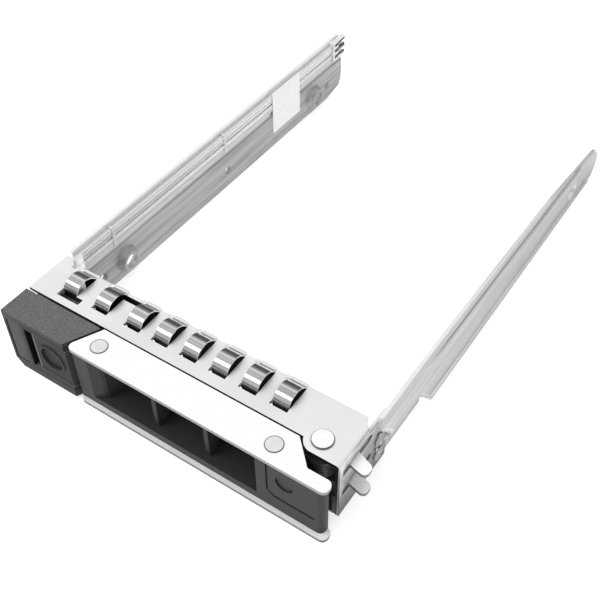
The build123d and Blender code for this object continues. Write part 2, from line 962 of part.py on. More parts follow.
# Latch: nose in front of the handle's web, ramp against the button's wedge, bore for its spring
nose_end = web_left + latch_bite
shoulder_x = pocket_right - 0.1
spring_y = latch_rear - spring_bore + 0.1
spring_z = latch_floor + latch_height / 2
bore_end = latch_x + spring_bore
with BuildPart() as latch:
    slab(
        [
            (latch_x, latch_front),
            (ramp_x, latch_front),
            (ramp_x + ramp_run, ramp_end),
            (cradle_right, ramp_end),
            (cradle_right, latch_front),
            (nose_end - 1.0, latch_front),
            (nose_end, latch_front + 0.9),
            (nose_end, nose_rear_face),
            (shoulder_x, nose_rear_face),
            (shoulder_x, latch_rear),
            (latch_x, latch_rear),
        ],
        latch_floor,
        latch_height,
    )
    cross_pin(
        latch_x - 1,
        bore_end,
        spring_y,
        spring_z,
        spring_radius + spring_wire / 2 + spring_gap,
        mode=Mode.SUBTRACT,
    )
latch.part.label = "latch"
export_step(latch.part, "parts/latch.step")

spring_length = bore_end - pocket_left - spring_wire
with BuildPart() as latch_spring:
    with BuildLine() as spring_path:
        Helix(
            pitch=spring_length / spring_turns,
            height=spring_length,
            radius=spring_radius,
            center=(pocket_left + spring_wire / 2, spring_y, spring_z),
            direction=(1, 0, 0),
        )
    wound(spring_path.line, spring_wire)
latch_spring.part.label = "latch_spring"
export_step(latch_spring.part, "parts/latch_spring.step")

# Handle channel: two flanges joined by a pierced rear web
rivet_left_x = handle_left + handle_rivet_inset
rivet_right_x = web_right - 2.65
lever_rivet_x = [lever_web_left + 1.7, lever_web_left + 1.7 + lever_rivet_pitch]
jamb = window_left + 0.5
span = (window_right - jamb) / window_count
window_low = sheet + window_floor
window_high = plate_floor - window_head
with BuildPart() as handle_channel:
    for floor in (0, plate_floor):
        with BuildSketch(Plane.XY.offset(floor)) as flange:
            with BuildLine():
                Polyline(
                    (left_end(0), 0),
                    (nose_tip, 0),
                    (nose_tip, nose_rear),
                    (chamfer_sum - nose_rear, nose_rear),
                    (web_right, handle_depth),
                    (left_end(handle_depth), handle_depth),
                    close=True,
                )
            make_face()
            corners = flange.vertices()
            fillet(corners.sort_by_distance((left_end(0), 0, 0))[0], flange_round)
            fillet(flange.vertices().sort_by_distance((nose_tip, 0, 0))[0], nose_corner)
            fillet(flange.vertices().sort_by_distance((nose_tip, nose_rear, 0))[0], nose_corner)
        extrude(flange.sketch, amount=sheet)
    block((web_left, web_right), (web_front, handle_depth), (sheet / 2, plate_floor + sheet / 2))
    for number in range(window_count):
        block(
            (jamb + number * span + web_margin, jamb + (number + 1) * span - web_margin),
            (web_front - 1, handle_depth + 1),
            (window_low + web_margin, window_high - web_margin),
            mode=Mode.SUBTRACT,
        )
    for x in (rivet_left_x, rivet_right_x):
        post(x, handle_rivet_setback, -1, body_height + 1, handle_rivet_radius, Mode.SUBTRACT)
    for x in lever_rivet_x:
        deep_pin(x, web_front - 1, handle_depth + 1, mid_arm, lever_rivet_radius, Mode.SUBTRACT)
handle_channel.part.label = "handle_channel"
export_step(handle_channel.part, "parts/handle_channel.step")

# Handle insert: moulded grille between the flanges
insert_right = nose_tip - 1.0
insert_sum = chamfer_sum - insert_side_gap * sqrt(2)
panel_left = window_right + 2.2
panel_right = insert_right - 1.6
with BuildPart() as handle_insert:
    with BuildSketch(Plane.XY.offset(sheet)) as plan:
        with BuildLine():
            Polyline(
                (left_end(insert_setback) + insert_side_gap, insert_setback),
                (insert_right, insert_setback),
                (insert_right, nose_rear),
                (insert_sum - nose_rear, nose_rear),
                (insert_sum - web_front, web_front),
                (left_end(web_front) + insert_side_gap, web_front),
                close=True,
            )
        make_face()
        fillet(
            plan.vertices().sort_by_distance((insert_right, insert_setback, 0))[0], nose_corner
        )
    extrude(plan.sketch, amount=plate_floor - sheet)
    slab(
        [
            (window_left - 2.3, insert_setback - 0.1),
            (window_left, insert_setback + 1.0),
            (jamb, insert_setback + rib_setback),
            (window_right, insert_setback + rib_setback),
            (window_right, insert_setback - 0.1),
        ],
        window_low,
        window_high - window_low,
        mode=Mode.SUBTRACT,
    )
    for number in range(window_count):
        left = jamb + number * span + (rib_width / 2 if number else 0)
        right = jamb + (number + 1) * span - (rib_width / 2 if number < window_count - 1 else 0)
        lean = 0 if number else window_lean
        slab(
            [
                (left, insert_setback + rib_setback - 0.1),
                (right, insert_setback + rib_setback - 0.1),
                (right, web_front + 1),
                (left + lean, web_front + 1),
            ],
            window_low,
            window_high - window_low,
            mode=Mode.SUBTRACT,
        )
    block(
        (handle_left - 1, nose_end + 0.3),
        (latch_front - 3 * running_gap, web_front + 1),
        (pocket_low - running_gap, pocket_high + running_gap),
        mode=Mode.SUBTRACT,
    )
    for x in (rivet_left_x, rivet_right_x):
        post(x, handle_rivet_setback, 0, body_height, handle_rivet_radius, Mode.SUBTRACT)
    for x in lever_rivet_x:
        deep_pin(
            x,
            web_front - lever_rivet_thickness - 0.1,
            web_front + 1,
            mid_arm,
            lever_rivet_head + 0.2,
            Mode.SUBTRACT,
        )
    groove = (insert_setback - 1, insert_setback + groove_depth)
    block(
        (panel_left, panel_left + groove_width),
        groove,
        (window_low + 3.2, window_high - 0.2),
        mode=Mode.SUBTRACT,
    )
    front_slab(
        [
            (panel_left, window_low + 3.2),
            (panel_left + groove_width, window_low + 3.2),
            (panel_left + 1.6 + groove_width, window_low + 2.1),
            (panel_left + 1.6, window_low + 1.7),
        ],
        insert_setback - 1,
        1 + groove_depth,
        mode=Mode.SUBTRACT,
    )
    block(
        (panel_left + 1.6, panel_right),
        groove,
        (window_low + 1.7, window_low + 2.3),
        mode=Mode.SUBTRACT,
    )
    deep_pin(
        (panel_left + panel_right) / 2 - 1.2,
        insert_setback - 1,
        insert_setback + groove_depth,
        mid_arm,
        dial_radius,
        Mode.SUBTRACT,
    )
handle_insert.part.label = "handle_insert"
export_step(handle_insert.part, "parts/handle_insert.step")

with BuildPart() as handle_rivet_left:
    post(rivet_left_x, handle_rivet_setback, 0, body_height, handle_rivet_radius)
    post(
        rivet_left_x, handle_rivet_setback, body_height, body_height + handle_rivet_dome,
        handle_rivet_head,
    )
handle_rivet_left.part.label = "handle_rivet_left"
export_step(handle_rivet_left.part, "parts/handle_rivet_left.step")

with BuildPart() as handle_rivet_right:
    post(rivet_right_x, handle_rivet_setback, 0, body_height, handle_rivet_radius)
    post(
        rivet_right_x, handle_rivet_setback, body_height, body_height + handle_rivet_dome,
        handle_rivet_head,
    )
handle_rivet_right.part.label = "handle_rivet_right"
export_step(handle_rivet_right.part, "parts/handle_rivet_right.step")

# Cam lever: two arms on the pivot with the tongues that turn in the wall's slots
tongue_tip = inner_right + tongue_reach
with BuildPart() as cam_lever:
    for arm in (lower_arm, upper_arm):
        post(pivot_x, pivot_y, arm, arm + sheet, arm_hub_radius)
        slab(
            [
                (lever_web_left, handle_depth),
                (lever_web_right, handle_depth),
                (pivot_x - 1.7, pivot_y - arm_hub_radius + 0.5),
                (pivot_x, pivot_y),
                (pivot_x, pivot_y + arm_hub_radius - 0.3),
                (lever_web_left, handle_depth + 3 * sheet),
            ],
            arm,
            sheet,
        )
        with BuildSketch(Plane.XY.offset(arm)) as tongue:
            with BuildLine():
                Polyline(
                    (pivot_x, pivot_y - arm_hub_radius + 0.3),
                    (inner_right, pivot_y + tongue_root_front),
                    (tongue_tip, pivot_y + tongue_tip_front),
                    (tongue_tip, pivot_y + tongue_tip_rear),
                    (inner_right, pivot_y + tongue_root_rear),
                    (pivot_x, pivot_y + arm_hub_radius - 0.1),
                    close=True,
                )
            make_face()
            for end in (tongue_tip_front, tongue_tip_rear):
                corner = tongue.vertices().sort_by_distance((tongue_tip, pivot_y + end, 0))[0]
                fillet(corner, tongue_round)
        extrude(tongue.sketch, amount=sheet)
    block(
        (lever_web_left, lever_web_right),
        (handle_depth, handle_depth + sheet),
        (lower_arm, upper_arm + sheet),
    )
    post(pivot_x, pivot_y, 0, body_height, bush_radius + pin_gap, Mode.SUBTRACT)
    for x in lever_rivet_x:
        deep_pin(
            x, handle_depth - 1, handle_depth + sheet + 1, mid_arm, lever_rivet_radius,
            Mode.SUBTRACT,
        )
cam_lever.part.label = "cam_lever"
export_step(cam_lever.part, "parts/cam_lever.step")

with BuildPart() as lever_rivets:
    for x in lever_rivet_x:
        lever_back = handle_depth + sheet
        deep_pin(x, web_front, lever_back, mid_arm, lever_rivet_radius)
        deep_pin(x, web_front - lever_rivet_thickness, web_front, mid_arm, lever_rivet_head)
        deep_pin(x, lever_back, lever_back + lever_rivet_thickness, mid_arm, lever_rivet_head)
lever_rivets.part.label = "lever_rivets"
export_step(lever_rivets.part, "parts/lever_rivets.step")

# Pivot: a headed rivet through both plates, and the bush that holds them apart
with BuildPart() as pivot_rivet:
    post(pivot_x, pivot_y, 0, body_height, shaft_radius)
    post(pivot_x, pivot_y, body_height, body_height + rivet_head_height, rivet_head_radius)
    rim = pivot_rivet.edges().filter_by(GeomType.CIRCLE).sort_by(Axis.Z)[-1]
    fillet(rim, rivet_head_height / 2)
pivot_rivet.part.label = "pivot_rivet"
export_step(pivot_rivet.part, "parts/pivot_rivet.step")

with BuildPart() as pivot_bush:
    post(pivot_x, pivot_y, sheet, plate_floor, bush_radius)
    post(pivot_x, pivot_y, 0, body_height, shaft_radius, mode=Mode.SUBTRACT)
pivot_bush.part.label = "pivot_bush"
export_step(pivot_bush.part, "parts/pivot_bush.step")

# Handle spring: coils on the bush, one leg behind the lever's web and one on the right wall
coil_radius = bush_radius + coil_gap + coil_wire / 2
coil_low = lower_arm + sheet + coil_wire
coil_high = upper_arm - coil_wire
web_leg = (pivot_x - leg_length, handle_depth + sheet + lever_rivet_thickness + coil_wire)
wall_leg = (wall_inner - coil_wire / 2, pivot_y + wall_leg_reach)


def tangent_angle(point, sense):
    """Give where a line from a point touches the coil, in radians."""
    across = point[0] - pivot_x
    along = point[1] - pivot_y
    reach = sqrt(across**2 + along**2)
    return atan2(along, across) % (2 * pi) + sense * acos(coil_radius / reach)


def coil_point(angle, z):
    """Give a point on the coil's middle line."""
    return (pivot_x + coil_radius * cos(angle), pivot_y + coil_radius * sin(angle), z)


start_angle = tangent_angle(wall_leg, 1)
end_angle = tangent_angle(web_leg, -1)
coil_sweep = coil_turns + (end_angle - start_angle) / (2 * pi)
steps = round(coil_sweep * coil_steps)
spring_points = [(wall_leg[0], wall_leg[1], coil_low)]
for number in range(steps + 1):
    share = number / steps
    angle = start_angle + 2 * pi * coil_sweep * share
    spring_points.append(coil_point(angle, coil_low + (coil_high - coil_low) * share))
spring_points.append((web_leg[0], web_leg[1], coil_high))
with BuildPart() as handle_spring:
    with BuildLine() as winding:
        Spline(*spring_points)
    wound(winding.line, coil_wire)
handle_spring.part.label = "handle_spring"
export_step(handle_spring.part, "parts/handle_spring.step")
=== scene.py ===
import math

import bpy
from mathutils import Matrix, Vector


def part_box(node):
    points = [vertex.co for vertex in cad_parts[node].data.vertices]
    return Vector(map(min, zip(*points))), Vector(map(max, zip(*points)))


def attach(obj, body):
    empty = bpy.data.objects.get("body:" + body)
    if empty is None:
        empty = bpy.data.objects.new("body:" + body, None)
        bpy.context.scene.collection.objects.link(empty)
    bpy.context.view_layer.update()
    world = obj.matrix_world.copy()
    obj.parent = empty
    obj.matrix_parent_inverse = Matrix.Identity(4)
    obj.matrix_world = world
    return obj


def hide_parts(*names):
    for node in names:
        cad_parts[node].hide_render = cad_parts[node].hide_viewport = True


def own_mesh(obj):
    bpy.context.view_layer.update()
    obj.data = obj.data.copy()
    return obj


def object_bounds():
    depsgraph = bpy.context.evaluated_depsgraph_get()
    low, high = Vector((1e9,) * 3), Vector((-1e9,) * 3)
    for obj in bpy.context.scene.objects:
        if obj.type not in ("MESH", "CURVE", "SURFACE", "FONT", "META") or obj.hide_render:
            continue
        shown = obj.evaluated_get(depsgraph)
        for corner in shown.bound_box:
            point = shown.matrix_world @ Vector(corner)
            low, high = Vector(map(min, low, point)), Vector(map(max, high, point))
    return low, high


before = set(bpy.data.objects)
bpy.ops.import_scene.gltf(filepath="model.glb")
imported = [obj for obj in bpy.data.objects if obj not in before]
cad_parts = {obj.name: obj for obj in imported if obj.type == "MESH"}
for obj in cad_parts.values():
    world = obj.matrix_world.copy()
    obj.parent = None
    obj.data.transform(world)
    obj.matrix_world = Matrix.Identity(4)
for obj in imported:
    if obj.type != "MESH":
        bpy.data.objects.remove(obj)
cad_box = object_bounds()

MM = 0.001


def low(node):
    """Lowest corner of a CAD node, in millimetres."""
    return Vector(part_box(node)[0]) / MM


def high(node):
    """Highest corner of a CAD node, in millimetres."""
    return Vector(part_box(node)[1]) / MM


def middle(node):
    """Centre of a CAD node seen from above, in millimetres."""
    centre = (low(node) + high(node)) / 2
    return (centre.x, centre.y)


def head(node):
    """Half the width of a CAD node, in millimetres."""
    return (high(node).x - low(node).x) / 2


# Materials

# Depths of the surface grain, in metres
FINE = 0.00003
SATIN = 0.00005
COARSE = 0.0001

# Lengths over which painted borders change, in millimetres
SHARP = 0.02
CRISP = 0.05
SOFT = 0.1

# Grey of the faces that stay in shadow
SHADOW = 0.02

# Scales of the noises that several finishes share, in cycles per metre
PATCHES = 900.0
BRUSHING = 900.0
SHEET_GRAIN = 1500.0
SPECKLES = 6500.0

# Places in a noise between which a grey changes, for most finishes, then for streaks, ridges
# and the specks of plastic
SPREAD = (0.35, 0.65)
WIDE_SPREAD = (0.3, 0.7)
NARROW_SPREAD = (0.4, 0.6)
SPECK_SPREAD = (0.45, 0.7)

# Inputs and output of the mix node that carry its factor and its colours
MIX_FACTOR = 0
MIX_FIRST = 6
MIX_SECOND = 7
MIX_RESULT = 2


def grey(shade):
    """An opaque grey."""
    return (shade, shade, shade, 1)


def set_stops(node, stops):
    """Give a ramp node its greys: pairs of place and grey."""
    steps = node.color_ramp.elements
    while len(steps) < len(stops):
        steps.new(0.5)
    for step, (place, shade) in zip(steps, stops):
        step.position = place
        step.color = grey(shade)


class Finish:
    """A procedural material with the few node chains that the pieces share."""

    def __init__(self, name, roughness, metallic=0.0):
        self.material = bpy.data.materials.new(name)
        self.material.use_nodes = True
        self.tree = self.material.node_tree
        self.shader = self.tree.nodes["Principled BSDF"]
        self.set("Roughness", roughness)
        self.set("Metallic", metallic)
        self.place = self.tree.nodes.new("ShaderNodeTexCoord")
        self.split = self.tree.nodes.new("ShaderNodeSeparateXYZ")
        self.tree.links.new(self.place.outputs["Object"], self.split.inputs["Vector"])
        facing = self.tree.nodes.new("ShaderNodeNewGeometry")
        self.turned = self.tree.nodes.new("ShaderNodeSeparateXYZ")
        self.tree.links.new(facing.outputs["Normal"], self.turned.inputs["Vector"])

    def set(self, name, value):
        """Set one value of the surface."""
        self.shader.inputs[name].default_value = value

    def feed(self, value, target):
        """Give an input a number, or link another node's output to it."""
        if not isinstance(value, (int, float)):
            self.tree.links.new(value, target)
        elif target.type == "RGBA":
            target.default_value = grey(value)
        else:
            target.default_value = value

    def noise(self, scale, stretch=(1, 1, 1), detail=4.0):
        """Noise in the part's own metres, stretched along its axes."""
        mapping = self.tree.nodes.new("ShaderNodeMapping")
        mapping.inputs["Scale"].default_value = stretch
        texture = self.tree.nodes.new("ShaderNodeTexNoise")
        texture.inputs["Scale"].default_value = scale
        texture.inputs["Detail"].default_value = detail
        self.tree.links.new(self.place.outputs["Object"], mapping.inputs["Vector"])
        self.tree.links.new(mapping.outputs["Vector"], texture.inputs["Vector"])
        return texture.outputs["Fac"]

    def math(self, operation, first, second=None):
        """One math node on sockets or numbers."""
        node = self.tree.nodes.new("ShaderNodeMath")
        node.operation = operation
        self.feed(first, node.inputs[0])
        if second is not None:
            self.feed(second, node.inputs[1])
        return node.outputs["Value"]

    def fold(self, operation, factors):
        """Join several factors by one operation."""
        joined = factors[0]
        for factor in factors[1:]:
            joined = self.math(operation, joined, factor)
        return joined

    def all_of(self, *factors):
        """1 where every factor is 1."""
        return self.fold("MULTIPLY", factors)

    def any_of(self, *factors):
        """1 where at least one factor is 1."""
        return self.fold("MAXIMUM", factors)

    def rise(self, socket, start, end):
        """0 before start and 1 after end."""
        node = self.tree.nodes.new("ShaderNodeMapRange")
        node.inputs["From Min"].default_value = start
        node.inputs["From Max"].default_value = end
        self.tree.links.new(socket, node.inputs["Value"])
        return node.outputs["Result"]

    def along(self, axis, start, end):
        """0 before start and 1 after end along an object axis, in millimetres."""
        return self.rise(self.split.outputs[axis], start * MM, end * MM)

    def facing_along(self, axis, start, end):
        """0 before start and 1 after end of one part of the surface's direction."""
        return self.rise(self.turned.outputs[axis], start, end)

    def stripe(self, fall, start, end):
        """1 in a stripe that falls towards the rear, between two heights, in millimetres."""
        drop = self.math("MULTIPLY", self.split.outputs["Y"], fall)
        height = self.math("ADD", self.split.outputs["Z"], drop)
        above = self.math("GREATER_THAN", height, start * MM)
        below = self.math("LESS_THAN", height, end * MM)
        return self.all_of(above, below)

    def ring(self, centre, inner, outer):
        """1 between two distances from a vertical axis, in millimetres."""
        across = self.math("SUBTRACT", self.split.outputs["X"], centre[0] * MM)
        ahead = self.math("SUBTRACT", self.split.outputs["Y"], centre[1] * MM)
        square = self.math("ADD", self.all_of(across, across), self.all_of(ahead, ahead))
        distance = self.math("SQRT", square)
        beyond = self.math("GREATER_THAN", distance, inner * MM)
        within = self.math("LESS_THAN", distance, outer * MM)
        return self.all_of(beyond, within)

    def ramp(self, factor, *stops):
        """Greys at places of a factor: pairs of place and grey."""
        node = self.tree.nodes.new("ShaderNodeValToRGB")
        set_stops(node, stops)
        self.tree.links.new(factor, node.inputs["Fac"])
        return node.outputs["Color"]

    def mottle(self, noise, dark, light, spread=SPREAD):
        """A noise drawn in greys between a dark and a light one."""
        return self.ramp(noise, (spread[0], dark), (spread[1], light))

    def mix(self, factor, first, second, blend="MIX"):
        """Mix two colours, each a socket or a grey."""
        node = self.tree.nodes.new("ShaderNodeMix")
        node.data_type = "RGBA"
        node.blend_type = blend
        self.feed(factor, node.inputs[MIX_FACTOR])
        self.feed(first, node.inputs[MIX_FIRST])
        self.feed(second, node.inputs[MIX_SECOND])
        return node.outputs[MIX_RESULT]

    def times(self, first, second):
        """One colour multiplied by another colour or by a number."""
        return self.mix(1.0, first, second, "MULTIPLY")

    def colour(self, socket):
        """Set the colour."""
        self.tree.links.new(socket, self.shader.inputs["Base Color"])

    def bump(self, factor, strength, distance):
        """Raise the surface by a factor."""
        node = self.tree.nodes.new("ShaderNodeBump")
        node.inputs["Strength"].default_value = strength
        node.inputs["Distance"].default_value = distance
        self.tree.links.new(factor, node.inputs["Height"])
        self.tree.links.new(node.outputs["Normal"], self.shader.inputs["Normal"])


# Right wall of the housing: its outer face, its top, where its front part passes into its
# rear part, and the greys of painted shade on both from foot to top, darker towards the foot
OUTER_WALL = 36.5
WALL_TOP = 16.0
WALL_TURN = (8.8, 11.5)
FRONT_WALL_SHADE = ((0.0, 0.05), (0.3, 0.17), (0.62, 0.5), (0.93, 0.8))
REAR_WALL_SHADE = ((0.0, 0.06), (0.3, 0.2), (0.7, 0.34), (0.93, 0.5))


def zinc():
    """Light matte zinc sheet, faintly mottled, with painted shade on the right wall, darker
    towards its foot and on its rear part, and on front-facing cut edges and undersides.
    """
    finish = Finish("zinc", 0.42, 0.6)
    sheet = finish.mottle(finish.noise(70.0), 0.77, 0.86)
    # Painted shade on the right wall, darker towards its foot, more so on its rear part
    height = finish.along("Z", 0.0, WALL_TOP)
    front_shade = finish.ramp(height, *FRONT_WALL_SHADE)
    rear_shade = finish.ramp(height, *REAR_WALL_SHADE)
    wall = finish.mix(finish.along("Y", *WALL_TURN), front_shade, rear_shade)
    streaks = finish.noise(700.0, (1.0, 0.3, 1.0))
    wall = finish.times(wall, finish.mottle(streaks, 0.8, 1.0, WIDE_SPREAD))
    right_side = finish.all_of(
        finish.along("X", OUTER_WALL, OUTER_WALL + CRISP),
        finish.along("Z", WALL_TOP, WALL_TOP - SOFT),
    )
    sheet = finish.mix(right_side, sheet, wall)
    # Painted shadow on cut edges that face the front and on faces that look down
    shaded_cut_edge = finish.all_of(
        finish.facing_along("Y", -0.6, -0.9),
        finish.along("X", OUTER_WALL, OUTER_WALL - SOFT),
    )
    shaded_underside = finish.facing_along("Z", -0.3, -0.6)
    finish.colour(finish.mix(finish.any_of(shaded_cut_edge, shaded_underside), sheet, SHADOW))
    finish.bump(finish.noise(SHEET_GRAIN), 0.1, COARSE)
    return finish.material


# Heights between which the base passes from its lower to its upper face, where its painted shade
# begins
BASE_SHEET = (0.3, 0.5)


def inner_zinc():
    """Sheet seen only through gaps: near black as painted shade on its inner face, light below.
    """
    finish = Finish("inner_zinc", 0.5, 0.5)
    cloud = finish.noise(120.0)
    # Painted shade: the inner face drawn near black
    inside = finish.mottle(cloud, 0.05, 0.09)
    outside = finish.mottle(cloud, 0.6, 0.72)
    finish.colour(finish.mix(finish.along("Z", *BASE_SHEET), outside, inside))
    finish.bump(finish.noise(SHEET_GRAIN), 0.1, COARSE)
    return finish.material


# Heights between which the face of the left rail passes into its upper ledge, painted bright as
# a highlight
LEDGE_HIGHLIGHT = (9.2, 9.6)


def left_sheet():
    """Even mid-grey sheet, brushed along its length, with a painted highlight on its upper
    ledge.
    """
    finish = Finish("left_rail_sheet", 0.5, 0.35)
    lines = finish.noise(BRUSHING, (1.0, 0.04, 1.0))
    face = finish.mottle(lines, 0.3, 0.44)
    # Painted highlight: the upper ledge drawn near white
    finish.colour(finish.mix(finish.along("Z", *LEDGE_HIGHLIGHT), face, 0.88))
    finish.bump(lines, 0.12, COARSE)
    return finish.material


# Right rail: the face that carries the bead, how far the bead's painted shade lines reach, the
# height of the painted shade along the foot, and the stretch over which the rail darkens to the
# rear
BEAD_FACE = 37.2
BEAD_FRONT = (36.0, 44.0)
BEAD_REAR = (118.0, 100.0)
RAIL_FOOT_SHADE = 0.5
RAIL_FADE = (40.0, 140.0)
# Fall, lowest and highest height of the painted shade lines under and over the bead
UNDER_BEAD_SHADE = (0.0405, 11.35, 11.9)
OVER_BEAD_SHADE = (0.034, 14.4, 14.85)
# Sideways part of the direction of an upright face, which gets painted shade
UPRIGHT = 0.85


def right_sheet():
    """Light sheet, brushed along its length; painted shade on its upright faces, along its foot
    and in lines under and over the bead; darker towards the rear.
    """
    finish = Finish("right_rail_sheet", 0.4, 0.6)
    lines = finish.noise(BRUSHING, (1.0, 0.05, 1.0))
    bright = finish.mottle(lines, 0.8, 0.92)
    shaded = finish.mottle(lines, 0.42, 0.54)
    sideways = finish.math("ABSOLUTE", finish.turned.outputs["X"])
    upright = finish.math("GREATER_THAN", sideways, UPRIGHT)
    # Painted shade: upright faces darker than those that face up
    front = finish.mix(upright, bright, shaded)
    # Painted shade along the foot
    front = finish.mix(finish.along("Z", RAIL_FOOT_SHADE, RAIL_FOOT_SHADE - SOFT), front, 0.16)
    reach = finish.all_of(
        finish.along("Y", *BEAD_FRONT),
        finish.along("Y", *BEAD_REAR),
        finish.along("X", BEAD_FACE, BEAD_FACE + SOFT),
    )
    # Painted shade lines in the grooves under and over the bead
    front = finish.mix(finish.all_of(finish.stripe(*UNDER_BEAD_SHADE), reach), front, 0.13)
    front = finish.mix(finish.all_of(finish.stripe(*OVER_BEAD_SHADE), reach), front, 0.35)
    rearward = finish.along("Y", *RAIL_FADE)
    finish.colour(finish.mix(rearward, front, finish.times(front, 0.72)))
    finish.bump(lines, 0.14, COARSE)
    return finish.material


# Painted reflections: greys of the fingers by how their surface turns, from facing the rear to
# facing the front
FINGER_REFLECTIONS = (
    (0.08, 0.8), (0.24, 0.55), (0.34, 0.36), (0.46, 0.42), (0.55, 0.98), (0.63, 0.5),
    (0.7, 0.66), (0.76, 0.34), (0.83, 0.62), (0.88, 0.4), (0.97, 0.6),
)
# Heights between which the fingers pass into the painted shadow below the plate, and how far
# back their flat rear begins, which is painted bright as a reflection
FINGER_SHADOW = (16.3, 15.7)
FLAT_REAR = (16.75, 16.95)


def polished():
    """Polished spring steel with painted reflection bands by the way its surface turns, painted
    highlights on its flat rear and on faces turned to the right, and painted shade underneath.
    """
    finish = Finish("polished_spring_steel", 0.16, 0.85)
    slope = finish.facing_along("Y", 1.0, -1.0)
    reflection_bands = finish.ramp(slope, *FINGER_REFLECTIONS)
    reflection_bands = finish.mix(finish.along("Z", *FINGER_SHADOW), reflection_bands, 0.05)
    lines = finish.noise(1400.0, (0.05, 1.0, 1.0))
    reflection_bands = finish.times(reflection_bands, finish.mottle(lines, 0.68, 0.88, WIDE_SPREAD))
    # Painted reflection: the flat rear band drawn bright
    reflection_bands = finish.mix(finish.along("Y", *FLAT_REAR), reflection_bands, 0.82)
    # Painted highlight on faces turned to the right
    side = finish.facing_along("X", 0.5, 0.9)
    shown = finish.mix(side, reflection_bands, 0.9)
    # Painted shade on faces that look down
    shaded_underside = finish.facing_along("Z", -0.05, -0.2)
    finish.colour(finish.mix(shaded_underside, shown, SHADOW))
    finish.bump(lines, 0.05, SATIN)
    return finish.material


# Heights between which the handle's sheet passes into the painted shadow along its foot, and
# into its lower flange, which is painted white as light
CHANNEL_FOOT_SHADOW = (0.5, 0.3)
LOWER_FLANGE_LIGHT = (2.0, 1.0)


def silver():
    """Bright satin silver sheet of the handle, with painted shade on faces that do not face up,
    such as its front edge, a painted shadow along its foot and the top of its lower flange
    painted full white as light.
    """
    finish = Finish("handle_silver", 0.42, 0.3)
    grain = finish.noise(2600.0)
    top = finish.mottle(grain, 0.9, 0.95)
    # Painted shade on faces that do not face up, darkest along the foot
    edge = finish.mottle(grain, 0.24, 0.32)
    edge = finish.mix(finish.along("Z", *CHANNEL_FOOT_SHADOW), edge, 0.03)
    # Painted light: the top of the lower flange drawn full white
    top = finish.mix(finish.along("Z", *LOWER_FLANGE_LIGHT), top, 1.0)
    finish.colour(finish.mix(finish.facing_along("Z", 0.6, 0.3), top, edge))
    finish.bump(grain, 0.06, SATIN)
    return finish.material


# Where the tongues come out of the wall, inside which the lever is painted dark as shade, and
# the gap in height between them
TONGUE_ROOT = 36.2
TONGUE_GAP = (9.0, 9.5)


def tongues():
    """Cam lever: white ends outside the wall, with painted shade on faces that do not face up,
    and near black as painted shade inside the housing.
    """
    finish = Finish("cam_lever", 0.42, 0.3)
    grain = finish.noise(1600.0)
    upper = finish.mottle(grain, 0.9, 0.95)
    lower = finish.mottle(grain, 0.88, 0.94)
    outside = finish.mix(finish.along("Z", *TONGUE_GAP), lower, upper)
    # Painted shade on faces that do not face up
    edge = finish.facing_along("Z", 0.5, 0.2)
    outside = finish.mix(edge, outside, 0.16)
    # Painted shade: the lever drawn near black inside the housing
    finish.colour(finish.mix(finish.along("X", TONGUE_ROOT, OUTER_WALL), 0.06, outside))
    finish.bump(grain, 0.06, SATIN)
    return finish.material


# Half the width of the line of painted shade round a rivet head
SHADE_LINE = 0.15


def rivet(name, dark, light, *lined):
    """Satin rivet heads, with a thin line of painted shade round each node that is named."""
    finish = Finish(name, 0.45, 0.4)
    cloud = finish.noise(PATCHES)
    face = finish.mottle(cloud, dark, light)
    for node in lined:
        # Painted shade in the crease round the head
        line = finish.ring(middle(node), head(node) - SHADE_LINE, head(node) + SHADE_LINE)
        face = finish.mix(line, face, 0.12)
    finish.colour(face)
    finish.bump(cloud, 0.08, SATIN)
    return finish.material


def wire():
    """Dark spring wire."""
    finish = Finish("spring_wire", 0.35, 0.9)
    drawn = finish.noise(3000.0)
    finish.colour(finish.mottle(drawn, 0.12, 0.2))
    finish.bump(drawn, 0.1, FINE)
    return finish.material


def plastic(name, roughness, shine):
    """A moulded plastic and its fine speckle."""
    finish = Finish(name, roughness)
    finish.set("Specular IOR Level", shine)
    speckle = finish.noise(SPECKLES, detail=1.0)
    finish.bump(speckle, 0.12, SATIN)
    return finish, speckle


def moulded(name, dark, light, roughness):
    """Moulded plastic with a painted highlight on rims that face up and to the front."""
    finish, speckle = plastic(name, roughness, 0.12)
    face = finish.mottle(speckle, dark, light, SPECK_SPREAD)
    # Painted highlight: rims that face up and to the front drawn three times lighter
    rim = finish.all_of(finish.facing_along("Z", 0.2, 0.5), finish.facing_along("Y", 0.0, -0.2))
    finish.colour(finish.mix(rim, face, finish.times(face, 3.0)))
    return finish.material


# Left, lower and upper border of the button's face
BUTTON_LEFT = -30.75
BUTTON_FOOT = 3.2
BUTTON_TOP = 13.7
# Where the painted highlight along those borders begins and is full
HIGHLIGHT_START = 0.35
HIGHLIGHT_FULL = 0.3


def button():
    """Button face with a painted highlight along its top and left borders, and painted shade
    beyond its borders, in the gap round it.
    """
    finish, speckle = plastic("button_charcoal", 0.5, 0.06)
    face = finish.mottle(speckle, 0.032, 0.055, SPECK_SPREAD)
    # Painted highlight along the top and left border
    top = finish.along("Z", BUTTON_TOP - HIGHLIGHT_START, BUTTON_TOP - HIGHLIGHT_FULL)
    left = finish.along("X", BUTTON_LEFT + HIGHLIGHT_START, BUTTON_LEFT + HIGHLIGHT_FULL)
    face = finish.mix(finish.any_of(top, left), face, 0.17)
    # Painted shade beyond the borders of the face, in the gap round the button
    surround = finish.any_of(
        finish.along("Z", BUTTON_TOP, BUTTON_TOP + SHARP),
        finish.along("Z", BUTTON_FOOT, BUTTON_FOOT - SHARP),
        finish.along("X", BUTTON_LEFT, BUTTON_LEFT - SHARP),
    )
    finish.colour(finish.mix(surround, face, 0.006))
    return finish.material


